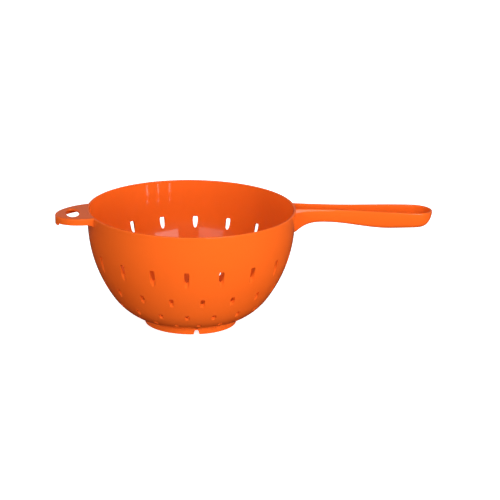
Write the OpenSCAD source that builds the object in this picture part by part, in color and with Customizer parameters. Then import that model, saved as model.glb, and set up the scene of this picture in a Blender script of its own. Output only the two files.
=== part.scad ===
// Long-handled colander scoop: a perforated bowl on a foot ring, with an open channel
// handle on one side and a hooked rest tab opposite it. It is one moulding in one plastic,
// divided here along its working features. Millimetres, +Z up. The origin is on the bowl's
// axis, in the plane that the foot ring rests on, and the handle runs along +X.

/* [Bowl] */
// Outer radius of the bowl at its rim
rim_radius = 115; // [114:0.5:117]
// Height of the rim above the surface that the bowl rests on
bowl_height = 130; // [128:0.5:134]
// Depth of the plain straight band under the rim
band_depth = 18.5; // [16:0.5:20]
// Lean of the straight band from the vertical, in degrees
band_draft = 2.9; // [2.3:0.1:3.5]
// Outer radius of the curve that the upper wall follows
side_curve_radius = 148; // [144:1:152]
// Lean from the vertical at which the lower wall's tighter curve starts, in degrees
side_curve_end = 35.6; // [34.4:0.1:35.8]
// Outer radius of the curve of the lower wall and the floor's edge
bottom_curve_radius = 71; // [69:0.5:72]
// Thickness of the plastic in the bowl
wall = 2.4; // [2:0.1:2.8]

/* [Strainer slots] */
// Slots in each ring round the bowl
slots_per_ring = 18; // [12:1:20]
// Distance from the axis to the flat outer end of the top ring's slots
first_ring_radius = 111.1; // [110:0.1:111.6]
// Distance from the axis to the flat outer end of the second ring's slots
second_ring_radius = 99.6; // [97:0.1:101]
// Distance from the axis to the flat outer end of the third ring's slots
third_ring_radius = 86.1; // [84:0.1:86.5]
// Distance from the axis to the flat outer end of the bottom ring's slots
fourth_ring_radius = 72.3; // [69:0.1:75]
// Width of each slot in the top ring
slot_width = 5.5; // [4:0.5:6]
// Width of each slot in the three lower rings
lower_slot_width = 4.6; // [4:0.1:5.4]
// Length of a slot along the radius, seen from above
slot_length = 5.5; // [4.5:0.1:6]

/* [Floor holes] */
// Radius of a round drain hole in the floor
floor_hole_radius = 2.5; // [1.5:0.25:3]
// Spacing of the rings of drain holes
floor_ring_pitch = 13; // [12:0.5:14]
// Rings of drain holes round the one in the middle
floor_rings = 3; // [1:1:3]

/* [Foot ring] */
// Outer radius of the foot ring
foot_radius = 50.5; // [48:0.5:54]
// Thickness of the foot ring
foot_wall = 2.4; // [2:0.1:3.5]
// Width of a drain notch at the foot ring's lower edge
notch_width = 6.6; // [5:0.2:12]
// Width of a drain notch at its top
notch_top_width = 3.6; // [2:0.2:5]
// Height of a drain notch
notch_height = 4.8; // [3:0.2:5]

/* [Handle] */
// Distance from the bowl's axis to the tip of the handle
handle_reach = 269.8; // [263:0.2:286]
// Half width of the handle's narrow neck
neck_half_width = 11.7; // [10:0.1:13]
// Half width of the handle's grip
grip_half_width = 18.9; // [16:0.1:22]
// Depth of the grip's underside below the rim
grip_depth = 27.4; // [24:0.2:31]
// Depth of the neck's underside below the rim
neck_depth = 18.8; // [16:0.2:21]
// Extra depth of the root where it flares down onto the bowl
root_flare = 11; // [7:0.2:13]
// Slope of the handle's top edge down towards its tip, in degrees
handle_slope = 3.2; // [2:0.1:4]
// Thickness of the handle's walls and floor
handle_wall = 2.4; // [2:0.1:3]

/* [Rest tab] */
// Distance from the bowl's axis to the tip of the rest tab
tab_reach = 150.4; // [147:0.2:155]
// Half of the tab's width where it leaves the bowl
tab_half_width = 30; // [28:0.5:32]
// Thickness of the tab's top plate
tab_plate = 2.4; // [2:0.1:2.8]
// Slope of the tab's top down towards its tip, in degrees
tab_slope = 4.5; // [3:0.1:5]
// Thickness of the skirt under the edge of the tab
skirt_wall = 2; // [1.6:0.1:2.4]
// Depth of the skirt's lower edge below the tab's top
skirt_depth = 7.4; // [6.4:0.1:8.4]
// Depth of the hook at the tip below the skirt's lower edge
hook_depth = 2.6; // [1:0.2:4]
// Half width of the hook
hook_half_width = 8.9; // [6:0.1:12]
// Half length of the hanging hole, along the tab
hole_half_length = 7.2; // [5:0.1:7.5]
// Half width of the hanging hole, across the tab
hole_half_width = 15.3; // [12:0.1:16]

/* [Hidden] */
plastic = "orangered";
smooth = 360;

// The handle and the tab leave the bowl this far below the rim
handle_drop = 1.2;
tab_drop = 0.2;
// A slot's level ceiling is this far above the foot of its flat outer end
ceiling_rise = 0.3;
// Length added to a cutting solid so that it passes the faces it cuts
over = 1;
// Height above the rim of the solid that trims the handle and the tab where they meet the bowl
blank_rise = 5;

slot_ring_radii = [first_ring_radius, second_ring_radius, third_ring_radius, fourth_ring_radius];

// Unit vector out of the bowl's wall where the wall leans by an angle from the vertical
function outward(lean) = [cos(lean), -sin(lean)];

// Centres of the two curves of the bowl's outer profile, each tangent to the part above it
rim_point = [rim_radius, bowl_height];
band_end = [rim_radius - band_depth * tan(band_draft), bowl_height - band_depth];
side_centre = band_end - side_curve_radius * outward(band_draft);
side_end = side_centre + side_curve_radius * outward(side_curve_end);
bottom_centre = side_end - bottom_curve_radius * outward(side_curve_end);
floor_underside = bottom_centre.y - bottom_curve_radius;
// Lean of the lower wall where the foot ring's outer face meets it
floor_lean = acos((foot_radius - bottom_centre.x) / bottom_curve_radius);

// Height of the bowl's outer wall at a distance from the axis
function wall_height(r) =
    r > side_end.x
    ? side_centre.y - sqrt(pow(side_curve_radius, 2) - pow(r - side_centre.x, 2))
    : bottom_centre.y - sqrt(pow(bottom_curve_radius, 2) - pow(r - bottom_centre.x, 2));

// Leans of the wall where the top and the lower belt end, each between two rings of slots. The
// upper belt ends where the wall's tighter curve starts.
top_belt_end = 22;
lower_belt_end = 47;

// Handle stations along X
neck_x = 156;
neck_low_x = 142.5;
grip_x = 244.5;
grip_low_x = 221.5;
grip_end_x = 249.5;
handle_steps = 36;

// Tab outline: half an ellipse about a centre just inside the bowl's wall
tab_centre_x = -111;
tab_half_length = tab_reach + tab_centre_x;
hole_centre_x = -131.3;
tab_steps = 24;

// Smooth step from 0 to 1
function ease(t) = let (u = min(1, max(0, t))) u * u * (3 - 2 * u);

// Height of the handle's top edge, half width and underside at a distance x from the axis
function handle_top(x) = bowl_height - handle_drop - (x - rim_radius) * tan(handle_slope);
function handle_half_width(x) =
    neck_half_width
    + (grip_half_width - neck_half_width) * ease((x - neck_x) / (grip_x - neck_x))
    + 1.3 * pow(max(0, neck_x - x) / (neck_x - rim_radius), 2);
function handle_underside(x) =
    bowl_height - neck_depth
    - (grip_depth - neck_depth) * ease((x - neck_low_x) / (grip_low_x - neck_low_x))
    - root_flare * pow(max(0, neck_low_x - x) / (neck_low_x - rim_radius), 2.5);

// Section of a shell that follows an arc of the bowl's profile between two leans
module arc_band(centre, radius, lean_from, lean_to) {
    reach = 2 * radius;
    intersection() {
        difference() {
            translate(centre) circle(r = radius, $fn = smooth);
            translate(centre) circle(r = radius - wall, $fn = smooth);
        }
        translate(centre) polygon([
            [0, 0],
            reach * outward(lean_from),
            reach * outward((lean_from + lean_to) / 2),
            reach * outward(lean_to)
        ]);
    }
}

// One strainer slot's cutter at angle zero: flat at its outer end, round at its inner end, and
// closed above by a level ceiling just over the foot of the flat end
module slot_cutter(outer_end, width) {
    inner_centre = outer_end - slot_length + width / 2;
    linear_extrude(height = wall_height(outer_end) + ceiling_rise) {
        translate([inner_centre, 0]) circle(d = width, $fn = 48);
        translate([inner_centre, -width / 2]) square([outer_end - inner_centre, width]);
    }
}

// A ring of slot cutters; every other ring is turned by half a slot pitch
module slot_ring(index) {
    pitch = 360 / slots_per_ring;
    turn = index % 2 == 0 ? 0 : pitch / 2;
    width = index == 0 ? slot_width : lower_slot_width;
    for (k = [0 : slots_per_ring - 1]) {
        rotate([0, 0, turn + k * pitch]) slot_cutter(slot_ring_radii[index], width);
    }
}

// Plain band round the mouth of the bowl, with a rounded top edge
module rim_band() {
    lean = outward(band_draft);
    round_centre = [rim_radius - wall / 2, bowl_height - wall / 2];
    color(plastic) rotate_extrude($fn = smooth) {
        translate(round_centre) circle(d = wall, $fn = 48);
        polygon([
            band_end,
            rim_point - [0, wall / 2],
            rim_point - [wall, wall / 2],
            band_end - wall * lean
        ]);
    }
}

// Belt of the wall that holds the top ring of slots
module top_slot_belt() {
    color(plastic) difference() {
        rotate_extrude($fn = smooth)
            arc_band(side_centre, side_curve_radius, band_draft, top_belt_end);
        slot_ring(0);
    }
}

// Belt of the wall that holds the second ring of slots
module upper_slot_belt() {
    color(plastic) difference() {
        rotate_extrude($fn = smooth)
            arc_band(side_centre, side_curve_radius, top_belt_end, side_curve_end);
        slot_ring(1);
    }
}

// Belt of the wall that holds the third ring of slots, from where the tighter curve starts
module lower_slot_belt() {
    color(plastic) difference() {
        rotate_extrude($fn = smooth)
            arc_band(bottom_centre, bottom_curve_radius, side_curve_end, lower_belt_end);
        slot_ring(2);
    }
}

// Belt of the wall that holds the bottom ring of slots, down to the foot ring
module bottom_slot_belt() {
    color(plastic) difference() {
        rotate_extrude($fn = smooth)
            arc_band(bottom_centre, bottom_curve_radius, lower_belt_end, floor_lean);
        slot_ring(3);
    }
}

// Floor inside the foot ring, with round drain holes
module bowl_floor() {
    color(plastic) difference() {
        rotate_extrude($fn = smooth) {
            arc_band(bottom_centre, bottom_curve_radius, floor_lean, 90);
            translate([0, floor_underside]) square([bottom_centre.x, wall]);
        }
        cylinder(r = floor_hole_radius, h = bowl_height, $fn = 48);
        for (ring = [1 : floor_rings]) {
            for (k = [0 : 6 * ring - 1]) {
                rotate([0, 0, 360 * k / (6 * ring)]) translate([ring * floor_ring_pitch, 0, 0])
                    cylinder(r = floor_hole_radius, h = bowl_height, $fn = 48);
            }
        }
    }
}

// Ring that the bowl stands on, with a drain notch on each side of the handle's line
module foot_ring() {
    color(plastic) difference() {
        rotate_extrude($fn = smooth) difference() {
            translate([foot_radius - foot_wall, 0]) square([foot_wall, bottom_centre.y / 2]);
            translate(bottom_centre) circle(r = bottom_curve_radius, $fn = smooth);
        }
        rotate([90, 0, 0]) linear_extrude(height = 2 * (foot_radius + over), center = true) {
            polygon([
                [-notch_width / 2, -over],
                [notch_width / 2, -over],
                [notch_width / 2, 0],
                [notch_top_width / 2, notch_height],
                [-notch_top_width / 2, notch_height],
                [-notch_width / 2, 0]
            ]);
        }
    }
}

// The bowl's outer shape down to the upper wall, for trimming what meets the bowl outside
module bowl_blank() {
    reach = 2 * side_curve_radius;
    rotate_extrude($fn = smooth) {
        intersection() {
            translate(side_centre) circle(r = side_curve_radius, $fn = smooth);
            polygon([
                [0, side_end.y],
                side_centre + reach * outward(side_curve_end),
                side_centre + reach * outward(band_draft),
                band_end,
                [0, band_end.y]
            ]);
        }
        polygon([
            [0, band_end.y],
            band_end,
            rim_point + blank_rise * [tan(band_draft), 1],
            [0, bowl_height + blank_rise]
        ]);
    }
}

// Handle outline seen from above, drawn in by an inset
module handle_plan(inset) {
    span = grip_end_x - rim_radius / 2;
    stations = [for (k = [0 : handle_steps]) rim_radius / 2 + span * k / handle_steps];
    cap = [for (k = [1 : tab_steps - 1]) 90 - 180 * k / tab_steps];
    cap_length = handle_reach - grip_end_x - inset;
    cap_half_width = handle_half_width(grip_end_x) - inset;
    polygon(concat(
        [for (x = stations) [x, handle_half_width(max(x, rim_radius)) - inset]],
        [for (a = cap) [grip_end_x + cap_length * cos(a), cap_half_width * sin(a)]],
        [for (k = [0 : handle_steps]) let (x = stations[handle_steps - k])
            [x, -(handle_half_width(max(x, rim_radius)) - inset)]]
    ));
}

// Handle outline seen from the side, raised off its underside by an inset
module handle_side(inset, top_rise) {
    cap_x = grip_end_x - 2;
    span = cap_x - rim_radius / 2;
    stations = [for (k = [0 : handle_steps]) rim_radius / 2 + span * k / handle_steps];
    cap_length = handle_reach - cap_x - inset;
    cap_top = handle_top(handle_reach);
    cap_depth = cap_top - handle_underside(cap_x) - inset;
    polygon(concat(
        [for (x = stations) [x, handle_underside(max(x, rim_radius - over)) + inset]],
        [for (k = [1 : tab_steps]) let (a = 90 - 90 * k / tab_steps)
            [cap_x + cap_length * cos(a), cap_top - cap_depth * sin(a)]],
        [
            [handle_reach - inset, handle_top(handle_reach) + top_rise],
            [rim_radius / 2, handle_top(rim_radius / 2) + top_rise]
        ]
    ));
}

// The handle's body, solid, with both outlines drawn in by an inset
module handle_body(inset, top_rise) {
    intersection() {
        linear_extrude(height = bowl_height + 3 * over) handle_plan(inset);
        rotate([90, 0, 0])
            linear_extrude(height = 4 * grip_half_width, center = true)
                handle_side(inset, top_rise);
    }
}

// Handle: a channel that is open along its top
module handle_channel() {
    color(plastic) difference() {
        handle_body(0, 0);
        handle_body(handle_wall, 3 * over);
        bowl_blank();
    }
}

// Half an ellipse towards the tip of the tab, closed by a straight run under the bowl
module tab_plan(inset) {
    along = tab_half_length - inset;
    across = tab_half_width - inset;
    polygon(concat(
        [for (k = [0 : tab_steps]) let (a = 90 + 180 * k / tab_steps)
            [tab_centre_x + along * cos(a), across * sin(a)]],
        [[tab_centre_x + tab_half_length / 2, -across], [tab_centre_x + tab_half_length / 2, across]]
    ));
}

// Height of the tab's top at a place along X
function tab_top(x) = bowl_height - tab_drop - (-x - rim_radius) * tan(tab_slope);

// Flat top of the rest tab, with the hanging hole
module rest_tab_plate() {
    inner_x = tab_centre_x + tab_half_length / 2;
    color(plastic) difference() {
        intersection() {
            linear_extrude(height = bowl_height) tab_plan(0);
            rotate([90, 0, 0])
                linear_extrude(height = 4 * tab_half_width, center = true)
                    polygon([
                        [-tab_reach, tab_top(-tab_reach) - tab_plate],
                        [inner_x, tab_top(inner_x) - tab_plate],
                        [inner_x, tab_top(inner_x)],
                        [-tab_reach, tab_top(-tab_reach)]
                    ]);
        }
        translate([hole_centre_x, 0, 0])
            linear_extrude(height = bowl_height)
                polygon([for (k = [0 : 2 * tab_steps - 1]) let (a = 180 * k / tab_steps)
                    [hole_half_length * cos(a), hole_half_width * sin(a)]]);
        bowl_blank();
    }
}

// Skirt under the edge of the tab: its lower edge runs along the top, and it ends in a hook
module rest_tab_skirt() {
    inner_x = tab_centre_x + tab_half_length / 2;
    tip_z = tab_top(-tab_reach) - skirt_depth;
    color(plastic) difference() {
        intersection() {
            linear_extrude(height = bowl_height) difference() {
                tab_plan(0);
                tab_plan(skirt_wall);
            }
            union() {
                rotate([90, 0, 0])
                    linear_extrude(height = 4 * tab_half_width, center = true)
                        polygon([
                            [-tab_reach, tip_z],
                            [inner_x, tab_top(inner_x) - skirt_depth],
                            [inner_x, tab_top(inner_x) - tab_plate],
                            [-tab_reach, tab_top(-tab_reach) - tab_plate]
                        ]);
                translate([-tab_reach, -hook_half_width, tip_z - hook_depth])
                    cube([tab_half_length / 2, 2 * hook_half_width, hook_depth + over]);
            }
        }
        bowl_blank();
    }
}

rim_band();
top_slot_belt();
upper_slot_belt();
lower_slot_belt();
bottom_slot_belt();
bowl_floor();
foot_ring();
handle_channel();
rest_tab_plate();
rest_tab_skirt();
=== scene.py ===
"""The looks of a long-handled colander scoop: one glossy orange moulding on a pale floor."""

import math

import bmesh
import bpy
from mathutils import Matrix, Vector


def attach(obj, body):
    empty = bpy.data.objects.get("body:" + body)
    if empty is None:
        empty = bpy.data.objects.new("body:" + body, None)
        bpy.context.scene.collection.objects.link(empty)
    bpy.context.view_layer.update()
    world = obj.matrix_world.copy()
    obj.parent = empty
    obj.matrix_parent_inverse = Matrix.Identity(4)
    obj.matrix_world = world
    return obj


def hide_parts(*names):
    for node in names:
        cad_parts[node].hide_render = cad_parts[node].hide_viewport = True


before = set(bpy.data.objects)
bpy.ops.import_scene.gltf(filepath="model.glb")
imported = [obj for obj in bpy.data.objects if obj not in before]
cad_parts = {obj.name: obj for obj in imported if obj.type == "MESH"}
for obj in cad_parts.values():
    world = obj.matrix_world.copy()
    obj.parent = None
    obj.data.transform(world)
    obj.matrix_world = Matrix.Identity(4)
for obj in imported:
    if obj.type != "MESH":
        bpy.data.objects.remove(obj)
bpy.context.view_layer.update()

MM = 0.001
TURN = 2 * math.pi

# Camera: where it stands in metres, how it is turned in degrees, and its lens
CAMERA_PLACE = (-0.53794, -4.02597, 1.30843)
CAMERA_TURN = (73.2029, -0.6564, -8.3288)
CAMERA_LENS = 276.9

# Bowl, in millimetres. Its profile is a drafted band, a wide arc, a tighter arc and a flat floor.
# A place along it is the wall's lean from the vertical in degrees; on the flat floor the place
# goes on past FLAT_START by a millimetre of radius at a time.
RIM_RADIUS = 115.0
RIM_HEIGHT = 130.0
BAND_DEPTH = 18.5
BAND_DRAFT = 2.9
SIDE_RADIUS = 148.0
SIDE_END = 35.6
BOTTOM_RADIUS = 71.0
WALL = 2.4
FLAT_START = 90.0

# Mesh of the bowl: columns round it, rows along it, how much its rows crowd round an opening,
# and the rounding of the openings' edges
COLUMNS = 216
BAND_ROWS = 8
LIP_ROWS = 12
SLOT_SIDE_ROWS = 8
SLOT_CELL_ROWS = 7
FLOOR_CELL_ROWS = 4
FLOOR_EDGE_ROWS = 3
HOLE_SIDE_ROWS = 6
ROW_CROWDING = 1.25
EDGE_ROUND = 0.35
# Shares of an edge's two ends and of its corner in the middle of its rounding
ROUND_END_SHARE = 0.293
ROUND_CORNER_SHARE = 0.414

# Slots and drain holes
SLOTS = 18
SLOT_WIDTH = 5.5
LOWER_SLOT_WIDTH = 4.6
SLOT_LENGTH = 5.5
SLOT_CORNER = 0.8
CEILING_RISE = 0.3
HOLE_RADIUS = 2.5
HOLE_PITCH = 13.0
HOLE_RINGS = 3
HOLES_IN_FIRST_RING = 6

# Foot ring: its walls run from its rounded lower edge up into the bowl
FOOT_RADIUS = 50.5
FOOT_WALL = 2.4
FOOT_ROUND = 0.7
FOOT_COLUMNS = 90
FOOT_ROUND_ROWS = 4
FOOT_OUTER_TOP = 6.5
FOOT_INNER_TOP = 6.0
FOOT_SINK = 1.0
NOTCH_HALF_WIDTH = 3.3
NOTCH_TOP_HALF_WIDTH = 1.8
NOTCH_HEIGHT = 4.8
# The rounding of a notch's corners: how far outside its side and above the foot, and how far
# inside its side and below its top
NOTCH_LOW_ROUND = ((0.6, 0.0), (0.3, 0.0), (0.1, 0.12), (0.0, 0.45))
NOTCH_HIGH_ROUND = ((0.0, 0.6), (0.2, 0.15), (0.6, 0.0))

# Handle: half widths and underside depths of its neck and grip, and where each is reached
NECK_HALF_WIDTH = 11.7
GRIP_HALF_WIDTH = 18.9
NECK_FLARE = 1.3
HANDLE_START = 114.0
NECK_X = 156.0
GRIP_X = 244.5
CAP_X = 249.5
TIP_X = 269.3
NECK_DEPTH = 18.8
GRIP_DEPTH = 27.4
NECK_LOW_X = 142.5
GRIP_LOW_X = 221.5
ROOT_FLARE = 11.0
ROOT_FLARE_POWER = 2.5
HANDLE_WALL = 2.4
HANDLE_LIP = 0.9
HANDLE_DROP = 1.25
HANDLE_SLOPE = 3.2
# Its section: how square its lower corners are along its sides and at its tip, how much its
# sides lean in, how soon the one turns into the other, and the stretch of the underside that the
# tip's columns fan out from
SIDE_SQUARENESS = 5.0
TIP_SQUARENESS = 1.9
SIDE_LEAN = 0.14
TIP_BLEND = 1.5
FAN_X = 229.5
FAN_LENGTH = 23.0

# Rest tab
TAB_X = -111.0
TAB_LENGTH = 39.4
TAB_HALF_WIDTH = 30.0
TAB_PLATE = 2.4
TAB_SLOPE = 4.5
TAB_DROP = 0.2
TAB_ROUND = 1.0
TAB_BASE_INSET = 1.3
HANG_X = -131.3
HANG_HALF_LENGTH = 7.2
HANG_HALF_WIDTH = 15.3
HANG_ROUND = 0.5
HANG_SPACING = 0.45
SKIRT_WALL = 2.0
SKIRT_DEPTH = 7.4
SKIRT_ROUND = 0.6
SKIRT_LEAN = 0.03
SKIRT_FLARE = 1.6
SKIRT_FLARE_LENGTH = 6.0
HOOK_DEPTH = 13.0
HOOK_HALF_WIDTH = 8.3
HOOK_RAMP = 1.2

# Floor, in metres: a disc that turns up into a wall through a round cove
FLOOR_GLOW = 0.85
FLOOR_RADIUS = 7.0
FLOOR_SIDES = 96
COVE_RADIUS = 1.5
COVE_ROWS = 12
WALL_TOP = 7.0

# The room's colour at heights of the view direction, from straight down (-1) to straight up
# (1): a warm glow from under the bowl, a pale horizon and a dim ceiling
ROOM_BANDS = (
    (-1.0, (0.54, 0.18, 0.034)),
    (-0.7, (0.087, 0.022, 0.006)),
    (-0.35, (0.005, 0.01, 0.016)),
    (-0.2, (0.03, 0.09, 0.085)),
    (-0.05, (0.35, 0.35, 0.35)),
    (0.05, (0.15, 0.15, 0.15)),
    (0.3, (0.216, 0.216, 0.216)),
    (0.6, (0.0, 0.0, 0.0)),
    (1.0, (0.15, 0.15, 0.15)),
)
# Panels at PANEL_AWAY from the bowl's axis, each with its turn from the camera's side in degrees,
# the height of its centre, its width and height in metres, its power in watts, and whether the
# plastic mirrors it
PANEL_AWAY = 2.2
PANELS = (
    ("right_softbox", 32.0, 1.3, 1.2, 0.9, 11.5, True),
    ("left_softbox", -25.5, 1.23, 1.25, 0.9, 5.6, True),
    ("table_edge", 38.0, -0.31, 1.43, 0.25, 4.5, True),
    ("right_front", 32.0, 0.575, 1.2, 1.15, 22.4, False),
    ("left_front", -25.5, 0.575, 1.25, 1.15, 15.2, False),
    ("low_front", 0.0, 0.05, 3.0, 0.1, 8.75, False),
    ("right_side", 75.0, 0.3, 1.4, 0.6, 9.5, False),
    ("right_back", 135.0, 0.35, 1.6, 0.7, 8.0, False),
    ("left_back", -135.0, 0.35, 1.6, 0.7, 16.0, False),
)
# Square fills, tipped towards the bowl's middle and not mirrored: turn and lift in degrees, and
# power in watts
FILL_SIZE = 1.0
FILL_LEVEL = 0.08
FILLS = (
    ("front_fill", 0.0, 40.0, 2.35),
    ("right_fill", 45.0, 35.0, 6.15),
    ("left_fill", -45.0, 35.0, 7.05),
    ("back_fill", 180.0, 45.0, 1.2),
    ("top_fill", 0.0, 88.0, 6.5),
)


def along(lean):
    """Outward direction of the wall, in radius and height, where it leans by an angle."""
    a = math.radians(lean)
    return math.cos(a), -math.sin(a)


def step(point, direction, length):
    """A point moved along a direction, in the plane."""
    return point[0] + direction[0] * length, point[1] + direction[1] * length


def mix(a, b, t):
    """The value a share t of the way from a to b."""
    return a + (b - a) * t


def ease(t):
    """Rises smoothly from 0 to 1 as t does, and stays level outside."""
    u = min(1.0, max(0.0, t))
    return u * u * (3.0 - 2.0 * u)


BAND_END = (RIM_RADIUS - BAND_DEPTH * math.tan(math.radians(BAND_DRAFT)), RIM_HEIGHT - BAND_DEPTH)
SIDE_CENTRE = step(BAND_END, along(BAND_DRAFT), -SIDE_RADIUS)
SIDE_FOOT = step(SIDE_CENTRE, along(SIDE_END), SIDE_RADIUS)
BOTTOM_CENTRE = step(SIDE_FOOT, along(SIDE_END), -BOTTOM_RADIUS)
FLOOR_LEAN = math.degrees(math.acos((FOOT_RADIUS - BOTTOM_CENTRE[0]) / BOTTOM_RADIUS))

TOP_BELT_END = 22.0
LOWER_BELT_END = 47.0

# Belts of slots: the piece, the places where it starts and ends, its slots' outer end and width,
# and the column that its first cell starts at
BELTS = (
    ("top_slot_belt", BAND_DRAFT, TOP_BELT_END, 111.1, SLOT_WIDTH, -6),
    ("upper_slot_belt", TOP_BELT_END, SIDE_END, 99.6, LOWER_SLOT_WIDTH, 0),
    ("lower_slot_belt", SIDE_END, LOWER_BELT_END, 86.1, LOWER_SLOT_WIDTH, -6),
    ("bottom_slot_belt", LOWER_BELT_END, FLOOR_LEAN, 72.3, LOWER_SLOT_WIDTH, 0),
)


def profile(place, depth):
    """Radius, height and outward normal of the bowl's wall at a place, at a depth into it."""
    if place > FLAT_START:
        radius = BOTTOM_CENTRE[0] - (place - FLAT_START)
        return radius, BOTTOM_CENTRE[1] - BOTTOM_RADIUS + depth, 0.0, -1.0
    centre, radius = (SIDE_CENTRE, SIDE_RADIUS) if place <= SIDE_END else (BOTTOM_CENTRE, BOTTOM_RADIUS)
    nr, nz = along(place)
    r, z = step(centre, (nr, nz), radius - depth)
    return r, z, nr, nz


def place_at(radius, depth):
    """The place along the profile where the wall has this radius, at a depth into it."""
    if radius < BOTTOM_CENTRE[0]:
        return FLAT_START + BOTTOM_CENTRE[0] - radius
    lean = math.degrees(math.acos(min(1.0, (radius - SIDE_CENTRE[0]) / (SIDE_RADIUS - depth))))
    if lean > SIDE_END:
        lean = math.degrees(math.acos((radius - BOTTOM_CENTRE[0]) / (BOTTOM_RADIUS - depth)))
    return lean


def radius_at(height, depth):
    """Radius of the bowl's wall at a height, at a depth into it."""
    if height > BAND_END[1]:
        return BAND_END[0] + (height - BAND_END[1]) * math.tan(math.radians(BAND_DRAFT)) - depth
    centre, radius = (SIDE_CENTRE, SIDE_RADIUS) if height > SIDE_FOOT[1] else (BOTTOM_CENTRE, BOTTOM_RADIUS)
    return centre[0] + math.sqrt((radius - depth) ** 2 - (height - centre[1]) ** 2)


def on_wall(angle, place, depth):
    """A point of the bowl's wall and its normal, pointing out of the plastic on that side."""
    r, z, nr, nz = profile(place, depth)
    side = -1.0 if depth > 0 else 1.0
    c, s = math.cos(angle), math.sin(angle)
    return Vector((r * c, r * s, z)), Vector((nr * c, nr * s, nz)) * side


def spread(first, last, count):
    """count equal steps from first to last, both ends included."""
    return [first + (last - first) * k / count for k in range(count + 1)]


class Shape:
    """Points, their normals and the faces between them, gathered into one piece."""

    def __init__(self):
        self.points = []
        self.normals = []
        self.faces = []
        self.shared = {}

    def point(self, place, normal=None, key=None):
        """The number of a new point, or of the point that already has this key."""
        if key is not None and key in self.shared:
            return self.shared[key]
        self.points.append(Vector(place))
        self.normals.append(Vector(normal).normalized() if normal is not None else None)
        if key is not None:
            self.shared[key] = len(self.points) - 1
        return len(self.points) - 1

    def wall_point(self, column, place, depth):
        """A point on the bowl's wall at a column, shared by every face that meets there."""
        column %= COLUMNS
        key = (column, round(place, 6), depth)
        if key in self.shared:
            return self.shared[key]
        point, normal = on_wall(TURN * column / COLUMNS, place, depth)
        return self.point(point, normal, key)

    def wall_row(self, place, depth):
        """The bowl's whole circle of wall points at a place."""
        return [self.wall_point(column, place, depth) for column in range(COLUMNS)]

    def bridge(self, first, second, closed=True):
        """Quads between two rows of points, or triangles where they share a point."""
        count = len(first)
        for k in range(count if closed else count - 1):
            j = (k + 1) % count
            corners = []
            for i in (first[k], first[j], second[j], second[k]):
                if i not in corners:
                    corners.append(i)
            if len(corners) > 2:
                self.faces.append(tuple(corners))

    def bridges(self, rows, closed=True, round_again=False):
        """Quads between every row and the next, and back to the first where asked."""
        for first, second in zip(rows, rows[1:]):
            self.bridge(first, second, closed)
        if round_again:
            self.bridge(rows[-1], rows[0], closed)

    def piece(self, name, material, sharp=None):
        """Makes the object, shaded by its points' own normals or else by the angle of its edges."""
        mesh = bpy.data.meshes.new(name)
        mesh.from_pydata([p * MM for p in self.points], [], self.faces)
        work = bmesh.new()
        work.from_mesh(mesh)
        bmesh.ops.recalc_face_normals(work, faces=work.faces)
        work.to_mesh(mesh)
        work.free()
        mesh.shade_smooth()
        if sharp is None:
            mesh.normals_split_custom_set_from_vertices([tuple(n) for n in self.normals])
        else:
            mesh.set_sharp_from_angle(angle=math.radians(sharp))
        mesh.materials.append(material)
        piece = bpy.data.objects.new(name + "_moulding", mesh)
        bpy.context.scene.collection.objects.link(piece)
        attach(piece, "root")
        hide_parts(name)


def slot_outline(flat_end, inner_end, width, across, down):
    """One slot on the X axis, seen from above: its points, each with the way to the plastic.

    It starts at the corner of the flat end on the +Y side and runs along the flat end (across
    steps), the -Y side (down steps), the round inner end (across) and the +Y side (down). The
    flat end is the edge of the slot's level ceiling, so the plastic is above it."""
    half = width / 2
    corner_x = flat_end - SLOT_CORNER
    corner_y = half - SLOT_CORNER
    turns = across // 4
    points = []

    def add(centre, radius, a):
        c, s = math.cos(a), math.sin(a)
        points.append((step(centre, (c, s), radius), Vector((min(c, 0.0), s, max(c, 0.0)))))

    for k in range(turns):
        add((corner_x, corner_y), SLOT_CORNER, math.pi / 2 * (1 - k / turns))
    for t in spread(1.0, -1.0, across - 2 * turns)[:-1]:
        add((corner_x, corner_y * t), SLOT_CORNER, 0.0)
    for k in range(turns):
        add((corner_x, -corner_y), SLOT_CORNER, -math.pi / 2 * k / turns)
    round_x = inner_end + half
    for x in spread(corner_x, round_x, down)[:-1]:
        add((x, 0.0), half, -math.pi / 2)
    for k in range(across):
        add((round_x, 0.0), half, -math.pi / 2 - math.pi * k / across)
    for x in spread(round_x, corner_x, down)[:-1]:
        add((x, 0.0), half, math.pi / 2)
    return points


def hole_outline(centre_x, across, down):
    """One round hole on the X axis, in the same order as a slot's outline."""
    points = []
    start = math.pi / 4
    for count in (across, down, across, down):
        for k in range(count):
            a = start - math.pi / 2 * k / count
            away = Vector((math.cos(a), math.sin(a), 0.0))
            points.append((step((centre_x, 0.0), away, HOLE_RADIUS), away))
        start -= math.pi / 2
    return points


def cell_edge(column, across, down, top, bottom):
    """Round a cell's outside: columns and places, in the same order as an outline."""
    high = column + across
    edge = [(high - k, top) for k in range(across)]
    edge += [(column, mix(top, bottom, k / down)) for k in range(down)]
    edge += [(column + k, bottom) for k in range(across)]
    edge += [(high, mix(bottom, top, k / down)) for k in range(down)]
    return edge


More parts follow.
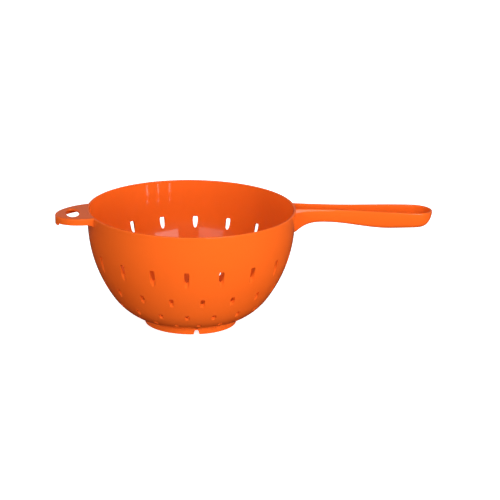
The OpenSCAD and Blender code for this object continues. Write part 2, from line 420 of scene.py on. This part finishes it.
def cell_side(shape, outline, middle_column, edge, depth, rings):
    """One side of a cell, in rows from the start of the opening's rounded edge to the outside.

    It gives back the opening's points, each with its normal and the way to the plastic, and the
    first row."""
    rim = []
    for (x, y), away in outline:
        point, normal = on_wall(math.atan2(y, x), place_at(math.hypot(x, y), depth), depth)
        rim.append((point, normal, away))
    starts = []
    for k, (point, normal, away) in enumerate(rim):
        run = (rim[(k + 1) % len(rim)][0] - rim[k - 1][0]).normalized()
        out = run.cross(normal).normalized()
        moved = point + out * (EDGE_ROUND if out.dot(away) > 0 else -EDGE_ROUND)
        starts.append((math.atan2(moved.y, moved.x), place_at(math.hypot(moved.x, moved.y), depth)))
    middle = TURN * middle_column / COLUMNS
    rows = []
    for j in range(rings):
        t = (j / rings) ** ROW_CROWDING
        row = []
        for (angle, place), (edge_column, edge_place) in zip(starts, edge):
            edge_angle = TURN * (edge_column - middle_column) / COLUMNS
            spot = on_wall(middle + mix(angle, edge_angle, t), mix(place, edge_place, t), depth)
            row.append(shape.point(*spot))
        rows.append(row)
    rows.append([shape.wall_point(edge_column, place, depth) for edge_column, place in edge])
    shape.bridges(rows)
    return rim, rows[0]


def cell(shape, outlines, column, across, down, tops, bottoms, rings):
    """The wall round one opening, on both sides, with the opening's own walls and round edges.

    The cell covers across columns from column, and runs from tops to bottoms: its places on the
    outer side and on the inner side. outlines are the opening's on those two sides."""
    middle_column = column + across / 2
    sides = []
    for depth, outline, top, bottom in zip((0.0, WALL), outlines, tops, bottoms):
        edge = cell_edge(column, across, down, top, bottom)
        sides.append(cell_side(shape, outline, middle_column, edge, depth, rings))

    c, s = math.cos(TURN * middle_column / COLUMNS), math.sin(TURN * middle_column / COLUMNS)

    def turned(v):
        return Vector((v.x * c - v.y * s, v.x * s + v.y * c, v.z))

    def turned_back(v):
        return Vector((v.x * c + v.y * s, -v.x * s + v.y * c, v.z))

    walls = []
    for (rim, first_row), (other, _) in zip(sides, sides[::-1]):
        bend = []
        wall = []
        for (point, normal, away), (far, _, _), start in zip(rim, other, first_row):
            inside = point + (far - point).normalized() * EDGE_ROUND
            on_face = turned_back(shape.points[start])
            rounded = (on_face + inside) * ROUND_END_SHARE + point * ROUND_CORNER_SHARE
            bend.append(shape.point(turned(rounded), turned(normal - away)))
            wall.append(shape.point(turned(inside), turned(-away)))
        shape.bridges([first_row, bend, wall])
        walls.append(wall)
    shape.bridge(*walls)


def slot_belts(material):
    """The four belts of the strainer wall, each with a ring of slots."""
    across = COLUMNS // SLOTS
    down = SLOT_SIDE_ROWS
    for name, top, bottom, outer_end, width, first_column in BELTS:
        shape = Shape()
        ceiling = profile(place_at(outer_end, 0.0), 0.0)[1] + CEILING_RISE
        inner_end = outer_end - SLOT_LENGTH
        flat_ends = (outer_end, radius_at(ceiling, WALL))
        outlines = [slot_outline(flat_end, inner_end, width, across, down) for flat_end in flat_ends]
        for index in range(SLOTS):
            column = first_column + index * across
            cell(shape, outlines, column, across, down, (top, top), (bottom, bottom), SLOT_CELL_ROWS)
        for place in (top, bottom):
            shape.bridge(shape.wall_row(place, 0.0), shape.wall_row(place, WALL))
        shape.piece(name, material)


def middle_hole(shape):
    """The hole in the middle of the floor, and the floor round it as far as the first ring."""
    ends = []
    for depth in (0.0, WALL):
        side = -1.0 if depth > 0 else 1.0
        z = BOTTOM_CENTRE[1] - BOTTOM_RADIUS + depth
        rows = [shape.wall_row(place_at(HOLE_PITCH / 2, depth), depth)]
        rows.append(shape.wall_row(place_at(HOLE_RADIUS + EDGE_ROUND, depth), depth))
        for lean in (45.0, 90.0):
            a = math.radians(lean)
            r = HOLE_RADIUS + EDGE_ROUND * (1 - math.sin(a))
            height = z + side * EDGE_ROUND * (1 - math.cos(a))
            row = []
            for k in range(COLUMNS):
                c, s = math.cos(TURN * k / COLUMNS), math.sin(TURN * k / COLUMNS)
                normal = (-c * math.sin(a), -s * math.sin(a), -side * math.cos(a))
                row.append(shape.point((r * c, r * s, height), normal))
            rows.append(row)
        shape.bridges(rows)
        ends.append(rows[-1])
    shape.bridge(*ends)


def bowl_floor(material):
    """The floor inside the foot ring, with rings of round drain holes and one in the middle."""
    shape = Shape()
    for depth in (0.0, WALL):
        outer_ring = place_at((HOLE_RINGS + 0.5) * HOLE_PITCH, depth)
        places = spread(FLOOR_LEAN, outer_ring, FLOOR_EDGE_ROWS)
        shape.bridges([shape.wall_row(place, depth) for place in places])
    shape.bridge(shape.wall_row(FLOOR_LEAN, 0.0), shape.wall_row(FLOOR_LEAN, WALL))
    for ring in range(HOLE_RINGS, 0, -1):
        cells = HOLES_IN_FIRST_RING * ring
        across = COLUMNS // cells
        down = max(HOLE_SIDE_ROWS, across // 2)
        outlines = [hole_outline(ring * HOLE_PITCH, across, down)] * 2
        tops = [place_at((ring + 0.5) * HOLE_PITCH, depth) for depth in (0.0, WALL)]
        bottoms = [place_at((ring - 0.5) * HOLE_PITCH, depth) for depth in (0.0, WALL)]
        for index in range(cells):
            column = index * across - across // 2
            cell(shape, outlines, column, across, down, tops, bottoms, FLOOR_CELL_ROWS)
    middle_hole(shape)
    shape.piece("bowl_floor", material)


def rim_band(material):
    """The plain band round the mouth, with its rounded lip."""
    nr, nz = along(BAND_DRAFT)
    lip = WALL / 2
    section = []
    for z in spread(BAND_END[1], RIM_HEIGHT - lip, BAND_ROWS)[:-1]:
        section.append((radius_at(z, 0.0), z, nr, nz))
    for turned in spread(-BAND_DRAFT, 180 + BAND_DRAFT, LIP_ROWS):
        a = math.radians(turned)
        section.append((RIM_RADIUS - lip + lip * math.cos(a), RIM_HEIGHT - lip + lip * math.sin(a),
                        math.cos(a), math.sin(a)))
    top = section[-1]
    end = step(BAND_END, (nr, nz), -WALL)
    for t in spread(0.0, 1.0, BAND_ROWS)[1:]:
        section.append((mix(top[0], end[0], t), mix(top[1], end[1], t), -nr, -nz))
    shape = Shape()
    rows = []
    for r, z, nr, nz in section:
        row = []
        for k in range(COLUMNS):
            c, s = math.cos(TURN * k / COLUMNS), math.sin(TURN * k / COLUMNS)
            row.append(shape.point((r * c, r * s, z), (nr * c, nr * s, nz)))
        rows.append(row)
    shape.bridges(rows, round_again=True)
    shape.piece("rim_band", material)


def close_section(shape, row):
    """Faces across the end of a thin section, between its outer half and its inner half."""
    count = len(row)
    for k in range(count // 2 - 1):
        shape.faces.append((row[k], row[k + 1], row[count - 2 - k], row[count - 1 - k]))


def notch_outline():
    """Across a notch: the distance from its middle, and the height of the ring's edge there."""
    def side(height):
        return mix(NOTCH_HALF_WIDTH, NOTCH_TOP_HALF_WIDTH, height / NOTCH_HEIGHT)

    half = [(side(up) + out, up) for out, up in NOTCH_LOW_ROUND]
    half += [(side(NOTCH_HEIGHT - down) - back, NOTCH_HEIGHT - down) for back, down in NOTCH_HIGH_ROUND]
    half.append((0.0, NOTCH_HEIGHT))
    return half + [(-x, low) for x, low in half[-2::-1]]


def foot_ring(material):
    """The ring that the bowl stands on, with a drain notch on each side."""
    outer, inner = FOOT_RADIUS, FOOT_RADIUS - FOOT_WALL
    notch = notch_outline()
    edge = notch[0][0]
    columns = []
    for middle in (math.pi / 2, math.pi * 3 / 2):
        for x, low in notch:
            columns.append((middle - math.asin(x / outer), middle - math.asin(x / inner), low))
        first = [middle + math.asin(edge / r) for r in (outer, inner)]
        last = [middle + math.pi - math.asin(edge / r) for r in (outer, inner)]
        for t in spread(0.0, 1.0, FOOT_COLUMNS)[1:-1]:
            columns.append((mix(first[0], last[0], t), mix(first[1], last[1], t), 0.0))

    def wall_end(radius):
        return profile(place_at(radius, 0.0), 0.0)[1] + FOOT_SINK

    shape = Shape()
    rows = []
    turns = spread(0.0, math.pi / 2, FOOT_ROUND_ROWS)
    for outer_angle, inner_angle, low in columns:
        bend = [(FOOT_ROUND * (1 - math.cos(a)), low + FOOT_ROUND * (1 - math.sin(a))) for a in turns]
        section = [(outer, wall_end(outer), outer_angle)]
        section += [(outer, mix(FOOT_OUTER_TOP, low + FOOT_ROUND, t), outer_angle) for t in (0.0, 0.5)]
        section += [(outer - move, z, outer_angle) for move, z in bend]
        section += [(inner + move, z, inner_angle) for move, z in bend[::-1]]
        section += [(inner, mix(FOOT_INNER_TOP, low + FOOT_ROUND, t), inner_angle) for t in (0.5, 0.0)]
        section.append((inner, wall_end(inner), inner_angle))
        rows.append([shape.point((r * math.cos(a), r * math.sin(a), z)) for r, z, a in section])
    shape.bridges(rows, round_again=True)
    shape.piece("foot_ring", material, sharp=40)


def handle_top(x):
    """Height of the handle's top edge."""
    return RIM_HEIGHT - HANDLE_DROP - (x - RIM_RADIUS) * math.tan(math.radians(HANDLE_SLOPE))


def handle_half_width(x):
    """Half of the handle's width: wider towards the grip, and a little towards the bowl."""
    flare = max(0.0, (NECK_X - x) / (NECK_X - RIM_RADIUS))
    widening = ease((x - NECK_X) / (GRIP_X - NECK_X))
    return mix(NECK_HALF_WIDTH, GRIP_HALF_WIDTH, widening) + NECK_FLARE * flare ** 2


def handle_underside(x):
    """Height of the handle's underside: dips towards the grip, and flares down onto the bowl."""
    flare = max(0.0, (NECK_LOW_X - x) / (NECK_LOW_X - RIM_RADIUS))
    dip = ease((x - NECK_LOW_X) / (GRIP_LOW_X - NECK_LOW_X))
    return RIM_HEIGHT - mix(NECK_DEPTH, GRIP_DEPTH, dip) - ROOT_FLARE * flare ** ROOT_FLARE_POWER


def handle_stations(side_steps, cap_steps):
    """Places along one side of the handle and round its tip: x, y and the way out."""
    stations = []
    for x in spread(HANDLE_START, CAP_X, side_steps)[:-1]:
        slope = handle_half_width(x + 0.5) - handle_half_width(x - 0.5)
        length = math.hypot(1.0, slope)
        stations.append((x, handle_half_width(x), -slope / length, 1.0 / length))
    for k in range(cap_steps + 1):
        a = math.pi / 2 * (1 - k / cap_steps)
        nx, ny = math.cos(a) * GRIP_HALF_WIDTH, math.sin(a) * (TIP_X - CAP_X)
        length = math.hypot(nx, ny)
        x, y = CAP_X + (TIP_X - CAP_X) * math.cos(a), GRIP_HALF_WIDTH * math.sin(a)
        stations.append((x, y if k < cap_steps else 0.0, nx / length, ny / length))
    return stations


def handle_spine(x):
    """Where on the underside's middle line a column ends that starts at x."""
    t = max(0.0, (x - FAN_X) / (TIP_X - FAN_X))
    return x if x < FAN_X else FAN_X + FAN_LENGTH * math.sin(t * math.pi / 2)


def handle_column(station, floor_rise, inset, steps):
    """Points down one side of the channel from its lip to the middle of its floor."""
    x, y, nx, ny = station
    x, y = x - nx * inset, y - ny * inset
    endness = max(0.0, nx) ** TIP_BLEND
    squareness = mix(SIDE_SQUARENESS, TIP_SQUARENESS, endness)
    lean = mix(SIDE_LEAN, 0.0, endness)
    spine_x = handle_spine(station[0])
    top = handle_top(x) - HANDLE_LIP
    bottom = handle_underside(spine_x) + floor_rise
    points = []
    for k in range(steps + 1):
        a = math.pi / 2 * k / steps
        out = math.cos(a) ** (2 / squareness) if k < steps else 0.0
        fall = math.sin(a) ** (2 / squareness)
        keep = out * (1 - lean * fall)
        points.append((mix(spine_x, x, keep), y * keep, mix(top, bottom, fall)))
    return points


def handle_lip(station, steps):
    """Points over the lip, from the outside of the wall to the inside."""
    x, y, nx, ny = station
    points = []
    for inset, start in ((HANDLE_LIP, 0), (HANDLE_WALL - HANDLE_LIP, 1)):
        for k in range(steps + 1):
            a = math.pi / 2 * (start + k / steps)
            move = inset - HANDLE_LIP * math.cos(a)
            px = x - nx * move
            points.append((px, y - ny * move, handle_top(px) - HANDLE_LIP * (1 - math.sin(a))))
    return points


def handle_channel(material):
    """The handle: a channel open along its top, with a rounded lip and a rounded end."""
    side_steps, cap_steps, down_steps, lip_steps = 66, 26, 16, 4
    stations = handle_stations(side_steps, cap_steps)
    shape = Shape()
    roots = []
    for side in (1.0, -1.0):
        rows = []
        for index, station in enumerate(stations):
            outside = handle_column(station, 0.0, 0.0, down_steps)
            inside = handle_column(station, HANDLE_WALL, HANDLE_WALL, down_steps)
            points = outside[:0:-1] + handle_lip(station, lip_steps) + inside[1:]
            row = []
            for k, (x, y, z) in enumerate(points):
                if index == 0:
                    x = math.sqrt((radius_at(min(z, RIM_HEIGHT), 0.0) - WALL / 2) ** 2 - y * y)
                on_middle = k in (0, len(points) - 1) or index == len(stations) - 1
                key = (index, k) if on_middle else None
                row.append(shape.point((x, 0.0 if on_middle else side * y, z), None, key))
            rows.append(row)
        shape.bridges(rows, closed=False)
        roots.append(rows[0])
    for root in roots:
        close_section(shape, root)
    shape.piece("handle_channel", material, sharp=50)


def tab_top(x):
    """Height of the rest tab's top."""
    return RIM_HEIGHT - TAB_DROP - (-x - RIM_RADIUS) * math.tan(math.radians(TAB_SLOPE))


def tab_outline(count):
    """Half an ellipse from the bowl round the tab's tip and back: places and ways out."""
    points = []
    for k in range(count + 1):
        a = math.pi / 2 + math.pi * k / count
        nx, ny = math.cos(a) * TAB_HALF_WIDTH, math.sin(a) * TAB_LENGTH
        length = math.hypot(nx, ny)
        x, y = TAB_X + TAB_LENGTH * math.cos(a), TAB_HALF_WIDTH * math.sin(a)
        points.append((x, y, nx / length, ny / length))
    return points


def plate_outline(arc, base):
    """Round the tab's edge and back along the bowl: places and ways out."""
    points = tab_outline(arc)[:-1]
    for t in spread(-1.0, 1.0, base)[:-1]:
        y = TAB_HALF_WIDTH * t
        points.append((-math.sqrt((RIM_RADIUS - TAB_BASE_INSET) ** 2 - y * y), y, 1.0, 0.0))
    return points


def hang_hole_outline(outer):
    """Round the hanging hole, one place for each of the plate's outline, and the ways in."""
    points = []
    for x, y, _, _ in outer:
        a = math.atan2(y / HANG_HALF_WIDTH, (x - HANG_X) / HANG_HALF_LENGTH * HANG_SPACING)
        c, s = math.cos(a), math.sin(a)
        length = math.hypot(c * HANG_HALF_WIDTH, s * HANG_HALF_LENGTH)
        points.append((HANG_X + HANG_HALF_LENGTH * c, HANG_HALF_WIDTH * s,
                       -c * HANG_HALF_WIDTH / length, -s * HANG_HALF_LENGTH / length))
    return points


def plate_edge(points, round_off, up):
    """Rows round an edge's rounding, from the flat to the edge's wall."""
    steps = 4
    rows = []
    for k in range(steps + 1):
        a = math.pi / 2 * (1 - k / steps)
        row = []
        for x, y, nx, ny in points:
            move = round_off * (1 - math.cos(a))
            px, py = x - nx * move, y - ny * move
            flat = tab_top(px) if up else tab_top(px) - TAB_PLATE
            row.append((px, py, flat - (round_off if up else -round_off) * (1 - math.sin(a))))
        rows.append(row)
    return rows


def plate_rows(first, last, drop):
    """Rows across the flat between two rows, at a depth below the plate's top."""
    steps = 8
    rows = []
    for t in spread(0.0, 1.0, steps)[1:-1]:
        row = []
        for (ax, ay, _), (bx, by, _) in zip(first, last):
            x, y = mix(ax, bx, t), mix(ay, by, t)
            row.append((x, y, tab_top(x) - drop))
        rows.append(row)
    return rows


def rest_tab_plate(material):
    """The tab's top, with a rounded edge and the hanging hole."""
    arc_steps, base_steps = 90, 30
    outer = plate_outline(arc_steps, base_steps)
    inner = hang_hole_outline(outer)
    outer_top = plate_edge(outer, TAB_ROUND, True)
    inner_top = plate_edge(inner, HANG_ROUND, True)
    inner_low = plate_edge(inner, HANG_ROUND, False)
    low_edge = [(x, y, tab_top(x) - TAB_PLATE) for x, y, _, _ in outer]
    places = inner_top[::-1] + plate_rows(inner_top[0], outer_top[0], 0.0) + outer_top
    places += [low_edge] + plate_rows(low_edge, inner_low[0], TAB_PLATE) + inner_low
    shape = Shape()
    rows = [[shape.point(p) for p in row] for row in places]
    shape.bridges(rows, round_again=True)
    shape.piece("rest_tab_plate", material, sharp=40)


def skirt_low(x, y):
    """Height of the skirt's lower edge."""
    flare = max(0.0, 1 - (-x - RIM_RADIUS + SKIRT_WALL) / SKIRT_FLARE_LENGTH)
    side = tab_top(x) - SKIRT_DEPTH - SKIRT_FLARE * flare ** 2
    hook = ease((HOOK_HALF_WIDTH + HOOK_RAMP - abs(y)) / HOOK_RAMP) if x < TAB_X else 0.0
    return mix(side, RIM_HEIGHT - HOOK_DEPTH, hook)


def rest_tab_skirt(material):
    """The skirt under the tab's edge, with its deeper hook at the tip."""
    stations, wall_rows, round_rows = 240, 6, 4
    shape = Shape()
    rows = []
    for x, y, nx, ny in tab_outline(stations):
        top = tab_top(x) - TAB_PLATE
        low = skirt_low(x, y)

        def at(inset, z):
            move = inset + (top - z) * SKIRT_LEAN
            return x - nx * move, y - ny * move, z

        heights = [mix(top, low + SKIRT_ROUND, t) for t in spread(0.0, 1.0, wall_rows)]
        turns = spread(0.0, math.pi / 2, round_rows)[1:-1]
        bend = [(SKIRT_ROUND * (1 - math.cos(a)), low + SKIRT_ROUND * (1 - math.sin(a))) for a in turns]
        section = [at(0.0, z) for z in heights]
        section += [at(move, z) for move, z in bend]
        section += [at(SKIRT_ROUND, low), at(SKIRT_WALL - SKIRT_ROUND, low)]
        section += [at(SKIRT_WALL - move, z) for move, z in bend[::-1]]
        section += [at(SKIRT_WALL, z) for z in heights[::-1]]
        rows.append([shape.point(p) for p in section])
    shape.bridges(rows)
    for end in (rows[0], rows[-1]):
        close_section(shape, end)
    shape.piece("rest_tab_skirt", material, sharp=40)


def noise(tree, coords, scale, detail):
    """Cloudy noise over a piece's own coordinates."""
    cloud = tree.nodes.new("ShaderNodeTexNoise")
    cloud.inputs["Scale"].default_value = scale
    cloud.inputs["Detail"].default_value = detail
    tree.links.new(coords.outputs["Object"], cloud.inputs["Vector"])
    return cloud


def orange_plastic():
    """Glossy moulded polypropylene: saturated orange, with a little life in its gloss."""
    material = bpy.data.materials.new("orange_plastic")
    material.use_nodes = True
    tree = material.node_tree
    shader = tree.nodes["Principled BSDF"]
    shader.inputs["IOR"].default_value = 1.47
    coords = tree.nodes.new("ShaderNodeTexCoord")
    cloud = noise(tree, coords, scale=14.0, detail=4.0)
    gloss = tree.nodes.new("ShaderNodeMapRange")
    gloss.inputs["From Min"].default_value = 0.3
    gloss.inputs["From Max"].default_value = 0.7
    gloss.inputs["To Min"].default_value = 0.04
    gloss.inputs["To Max"].default_value = 0.07
    tree.links.new(cloud.outputs["Fac"], gloss.inputs["Value"])
    tree.links.new(gloss.outputs["Result"], shader.inputs["Roughness"])
    tint = tree.nodes.new("ShaderNodeMix")
    tint.data_type = "RGBA"
    tint.inputs["A"].default_value = (0.93, 0.139, 0.0146, 1)
    tint.inputs["B"].default_value = (0.91, 0.131, 0.0123, 1)
    tree.links.new(cloud.outputs["Fac"], tint.inputs["Factor"])
    tree.links.new(tint.outputs["Result"], shader.inputs["Base Color"])
    grain = noise(tree, coords, scale=900.0, detail=2.0)
    bump = tree.nodes.new("ShaderNodeBump")
    bump.inputs["Strength"].default_value = 0.015
    bump.inputs["Distance"].default_value = 0.0002
    tree.links.new(grain.outputs["Fac"], bump.inputs["Height"])
    tree.links.new(bump.outputs["Normal"], shader.inputs["Normal"])
    return material


def floor_material():
    """Plain pale floor that glows a little, like a light table."""
    material = bpy.data.materials.new("pale_floor")
    material.use_nodes = True
    shader = material.node_tree.nodes["Principled BSDF"]
    shader.inputs["Base Color"].default_value = (0.93, 0.93, 0.93, 1)
    shader.inputs["Roughness"].default_value = 0.7
    shader.inputs["Emission Color"].default_value = (1, 1, 1, 1)
    shader.inputs["Emission Strength"].default_value = FLOOR_GLOW
    return material


def camera():
    """The photograph's viewing angle."""
    data = bpy.data.cameras.new("camera")
    data.lens = CAMERA_LENS
    data.sensor_width = 36.0
    data.clip_end = 50.0
    eye = bpy.data.objects.new("camera", data)
    eye.location = CAMERA_PLACE
    eye.rotation_euler = [math.radians(a) for a in CAMERA_TURN]
    bpy.context.scene.collection.objects.link(eye)
    bpy.context.scene.camera = eye


def panel(name, turn, reach, height, aim, size, power, mirrored):
    """A soft rectangular light, turned about the bowl's axis from the camera's side."""
    data = bpy.data.lights.new(name, "AREA")
    data.shape = "RECTANGLE"
    data.size, data.size_y = size
    data.energy = power
    light = bpy.data.objects.new(name, data)
    angle = math.atan2(CAMERA_PLACE[1], CAMERA_PLACE[0]) + math.radians(turn)
    place = Vector((reach * math.cos(angle), reach * math.sin(angle), height))
    light.location = place
    light.rotation_euler = (Vector((0, 0, aim)) - place).to_track_quat("-Z", "Y").to_euler()
    light.visible_glossy = mirrored
    bpy.context.scene.collection.objects.link(light)


def room():
    """The world: its colour follows the height of the direction looked along."""
    world = bpy.data.worlds.new("room")
    world.use_nodes = True
    tree = world.node_tree
    coords = tree.nodes.new("ShaderNodeTexCoord")
    parts = tree.nodes.new("ShaderNodeSeparateXYZ")
    tree.links.new(coords.outputs["Generated"], parts.inputs["Vector"])
    height = tree.nodes.new("ShaderNodeMapRange")
    height.inputs["From Min"].default_value = -1.0
    height.inputs["From Max"].default_value = 1.0
    tree.links.new(parts.outputs["Z"], height.inputs["Value"])
    ramp = tree.nodes.new("ShaderNodeValToRGB")
    bands = ramp.color_ramp.elements
    while len(bands) < len(ROOM_BANDS):
        bands.new(0.5)
    for band, (level, _) in zip(bands, ROOM_BANDS):
        band.position = (level + 1) / 2
    for band, (_, colour) in zip(bands, ROOM_BANDS):
        band.color = (*colour, 1)
    tree.links.new(height.outputs["Result"], ramp.inputs["Fac"])
    tree.links.new(ramp.outputs["Color"], tree.nodes["Background"].inputs["Color"])
    bpy.context.scene.world = world


def floor_sheet():
    """The pale glowing floor with its round cove, which only the camera sees."""
    bend_x = FLOOR_RADIUS - COVE_RADIUS
    section = [(bend_x, 0.0)]
    for a in spread(0.0, math.pi / 2, COVE_ROWS)[1:]:
        section.append((bend_x + COVE_RADIUS * math.sin(a), COVE_RADIUS * (1 - math.cos(a))))
    section.append((FLOOR_RADIUS, WALL_TOP))
    shape = bmesh.new()
    centre = shape.verts.new((0, 0, 0))
    turns = [TURN * k / FLOOR_SIDES for k in range(FLOOR_SIDES)]
    rings = [[shape.verts.new((r * math.cos(a), r * math.sin(a), z)) for a in turns] for r, z in section]
    for k in range(FLOOR_SIDES):
        after = (k + 1) % FLOOR_SIDES
        shape.faces.new((centre, rings[0][k], rings[0][after]))
        for low, high in zip(rings, rings[1:]):
            shape.faces.new((low[k], high[k], high[after], low[after]))
    for face in shape.faces:
        face.smooth = True
    mesh = bpy.data.meshes.new("floor")
    shape.to_mesh(mesh)
    shape.free()
    mesh.materials.append(floor_material())
    floor = bpy.data.objects.new("floor", mesh)
    bpy.context.scene.collection.objects.link(floor)
    floor.visible_diffuse = False
    floor.visible_glossy = False
    floor.visible_transmission = False
    floor.visible_shadow = False


def studio():
    """The floor, the room, the soft lights and how colours are shown."""
    floor_sheet()
    room()
    for name, turn, height, width, tall, power, mirrored in PANELS:
        panel(name, turn, PANEL_AWAY, height, height, (width, tall), power, mirrored)
    for name, turn, lift, power in FILLS:
        lean = math.radians(lift)
        reach, height = PANEL_AWAY * math.cos(lean), FILL_LEVEL + PANEL_AWAY * math.sin(lean)
        panel(name, turn, reach, height, FILL_LEVEL, (FILL_SIZE, FILL_SIZE), power, False)
    view = bpy.context.scene.view_settings
    view.view_transform = "Standard"
    view.look = "None"


camera()
plastic = orange_plastic()
rim_band(plastic)
slot_belts(plastic)
bowl_floor(plastic)
foot_ring(plastic)
handle_channel(plastic)
rest_tab_plate(plastic)
rest_tab_skirt(plastic)
studio()
